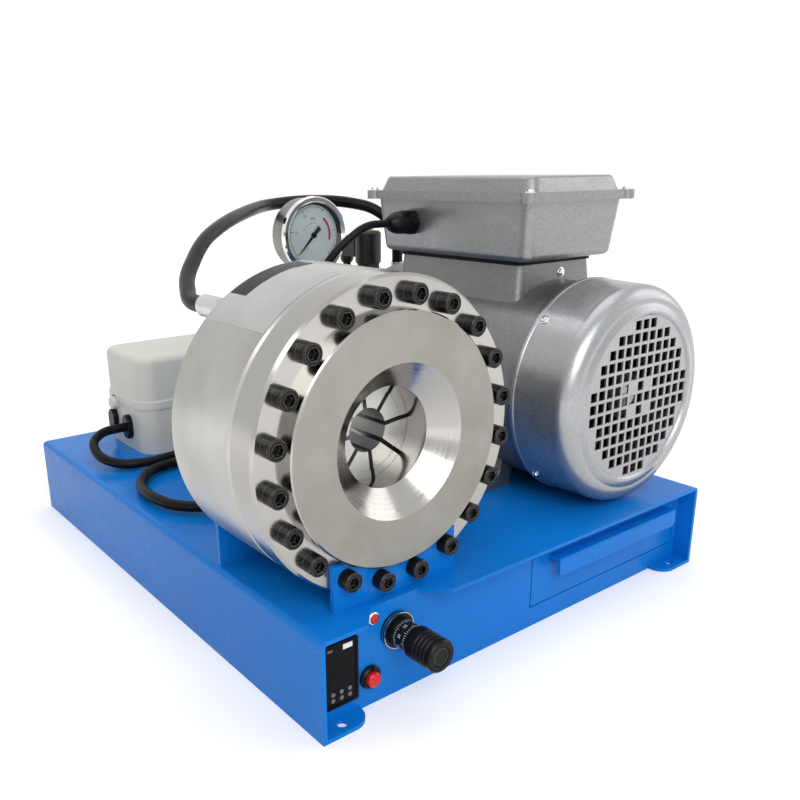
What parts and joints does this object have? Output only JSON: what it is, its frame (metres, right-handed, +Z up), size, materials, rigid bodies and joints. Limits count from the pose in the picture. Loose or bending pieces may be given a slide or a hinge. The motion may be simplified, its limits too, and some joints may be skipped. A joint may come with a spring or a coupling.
{
  "type": "hose crimping machine",
  "caption": "Bench hose crimping machine: round hydraulic crimping head with wedge dies on a steel base with tank and drawer, electric motor, gear pump, gauge and diameter dial.",
  "frame": {"origin": "centre of the base's four floor holes, on the floor", "axes": "+Z up, +X to the right and +Y to the back as seen from the dial and drawer side"},
  "size_m": [0.5903, 0.711, 0.445],
  "materials": {
    "blue_paint": "glossy sheet steel paint",
    "machined_steel": "turned and ground",
    "piston_steel": "ground",
    "die_steel": "ground tool steel",
    "black_oxide": "black oxide",
    "seal_rubber": "matte",
    "black_plastic": "satin moulded",
    "gloss_black": "glossy",
    "red_plastic": "glossy",
    "chrome_trim": "polished",
    "zinc_steel": "zinc plated",
    "motor_silver": "silver paint",
    "pump_aluminium": "cast and machined",
    "clear_glass": "clear",
    "grey_plastic": "fine textured",
    "cable_black": "smooth sheath"
  },
  "bodies": {
    "base": {"base_shell": "blue_paint", "front_bracket": "blue_paint", "rear_bracket": "blue_paint", "head_cylinder": "machined_steel", "head_cover": "machined_steel", "head_screws": "black_oxide", "cylinder_seals": "seal_rubber", "terminal_gasket": "seal_rubber", "dial_barrel": "black_plastic", "button_bezel": "black_plastic", "cable_gland": "black_plastic", "filler_breather": "black_plastic", "solenoid_valve": "black_plastic", "starter_grommets": "black_plastic", "display_panel": "gloss_black", "lamp_lens": "red_plastic", "lamp_bezel": "chrome_trim", "gauge_case": "chrome_trim", "drawer_runners": "zinc_steel", "oil_tank": "zinc_steel", "motor_bolts": "zinc_steel", "suction_pipe": "zinc_steel", "hose_fittings": "zinc_steel", "motor_frame": "motor_silver", "end_shields": "motor_silver", "fan_cowl": "motor_silver", "terminal_box": "motor_silver", "terminal_lid": "motor_silver", "bell_housing": "pump_aluminium", "gear_pump": "pump_aluminium", "valve_block": "pump_aluminium", "gauge_glass": "clear_glass", "starter_base": "grey_plastic", "starter_lid": "grey_plastic", "pressure_hose": "cable_black", "return_hose": "cable_black", "valve_cable": "cable_black", "loop_cable": "cable_black", "motor_cable": "cable_black"},
    "piston": {"piston": "piston_steel", "piston_seals": "seal_rubber", "stroke_arm": "piston_steel"},
    "drawer": {"drawer_front": "blue_paint", "drawer_tray": "zinc_steel"},
    "spindle": {"dial_spindle": "zinc_steel", "limit_switch": "black_plastic"},
    "thimble": {"dial_thimble": "black_plastic"},
    "button": {"button_cap": "red_plastic"},
    "rotor": {"rotor_shaft": "zinc_steel", "cooling_fan": "black_plastic", "shaft_coupling": "zinc_steel"},
    "needle": {"gauge_needle": "black_oxide"},
    "die_1_body": {"die_1": "die_steel"},
    "die_2_body": {"die_2": "die_steel"},
    "die_3_body": {"die_3": "die_steel"},
    "die_4_body": {"die_4": "die_steel"},
    "die_5_body": {"die_5": "die_steel"},
    "die_6_body": {"die_6": "die_steel"},
    "die_7_body": {"die_7": "die_steel"},
    "die_8_body": {"die_8": "die_steel"}
  },
  "joints": [
    {"name": "piston_slide", "type": "slide", "parent": "base", "child": "piston", "axis": [0, -1, 0], "range_m": [-0.01385, 0.00692]},
    {"name": "drawer_slide", "type": "slide", "parent": "base", "child": "drawer", "axis": [0, -1, 0], "range_m": [0, 0.2]},
    {"name": "spindle_slide", "type": "slide", "parent": "base", "child": "spindle", "axis": [0, 1, 0], "range_m": [-0.005, 0.005]},
    {"name": "thimble_turn", "type": "hinge", "parent": "spindle", "child": "thimble", "pos_m": [-0.175, -0.36, 0.0665], "axis": [0, 1, 0], "range_deg": [-1800, 1800]},
    {"name": "button_press", "type": "slide", "parent": "base", "child": "button", "axis": [0, 1, 0], "range_m": [0, 0.003], "stiffness_N_per_m": 400, "springref_m": -0.003},
    {"name": "rotor_spin", "type": "hinge", "parent": "base", "child": "rotor", "pos_m": [0.1655, 0, 0.2186], "axis": [0, 1, 0], "continuous": true},
    {"name": "needle_turn", "type": "hinge", "parent": "base", "child": "needle", "pos_m": [0.079, 0.16, 0.368], "axis": [0, 1, 0], "range_deg": [0, 270], "stiffness_Nm_per_rad": 0.001, "springref_deg": -28.65},
    {"name": "die_1_slide", "type": "slide", "parent": "base", "child": "die_1_body", "axis": [-0.8704, 0, -0.4924], "range_m": [-0.008, 0.004]},
    {"name": "die_2_slide", "type": "slide", "parent": "base", "child": "die_2_body", "axis": [-0.2672, 0, -0.9636], "range_m": [-0.008, 0.004]},
    {"name": "die_3_slide", "type": "slide", "parent": "base", "child": "die_3_body", "axis": [0.4924, 0, -0.8704], "range_m": [-0.008, 0.004]},
    {"name": "die_4_slide", "type": "slide", "parent": "base", "child": "die_4_body", "axis": [0.9636, 0, -0.2672], "range_m": [-0.008, 0.004]},
    {"name": "die_5_slide", "type": "slide", "parent": "base", "child": "die_5_body", "axis": [0.8704, 0, 0.4924], "range_m": [-0.008, 0.004]},
    {"name": "die_6_slide", "type": "slide", "parent": "base", "child": "die_6_body", "axis": [0.2672, 0, 0.9636], "range_m": [-0.008, 0.004]},
    {"name": "die_7_slide", "type": "slide", "parent": "base", "child": "die_7_body", "axis": [-0.4924, 0, 0.8704], "range_m": [-0.008, 0.004]},
    {"name": "die_8_slide", "type": "slide", "parent": "base", "child": "die_8_body", "axis": [-0.9636, 0, 0.2672], "range_m": [-0.008, 0.004]}
  ],
  "couplings": [
    {"joint": "thimble_turn", "follows": "spindle_slide", "rad_per_m": 6283.2},
    {"joint": "die_1_slide", "follows": "piston_slide", "ratio": 0.57735},
    {"joint": "die_2_slide", "follows": "piston_slide", "ratio": 0.57735},
    {"joint": "die_3_slide", "follows": "piston_slide", "ratio": 0.57735},
    {"joint": "die_4_slide", "follows": "piston_slide", "ratio": 0.57735},
    {"joint": "die_5_slide", "follows": "piston_slide", "ratio": 0.57735},
    {"joint": "die_6_slide", "follows": "piston_slide", "ratio": 0.57735},
    {"joint": "die_7_slide", "follows": "piston_slide", "ratio": 0.57735},
    {"joint": "die_8_slide", "follows": "piston_slide", "ratio": 0.57735}
  ]
}
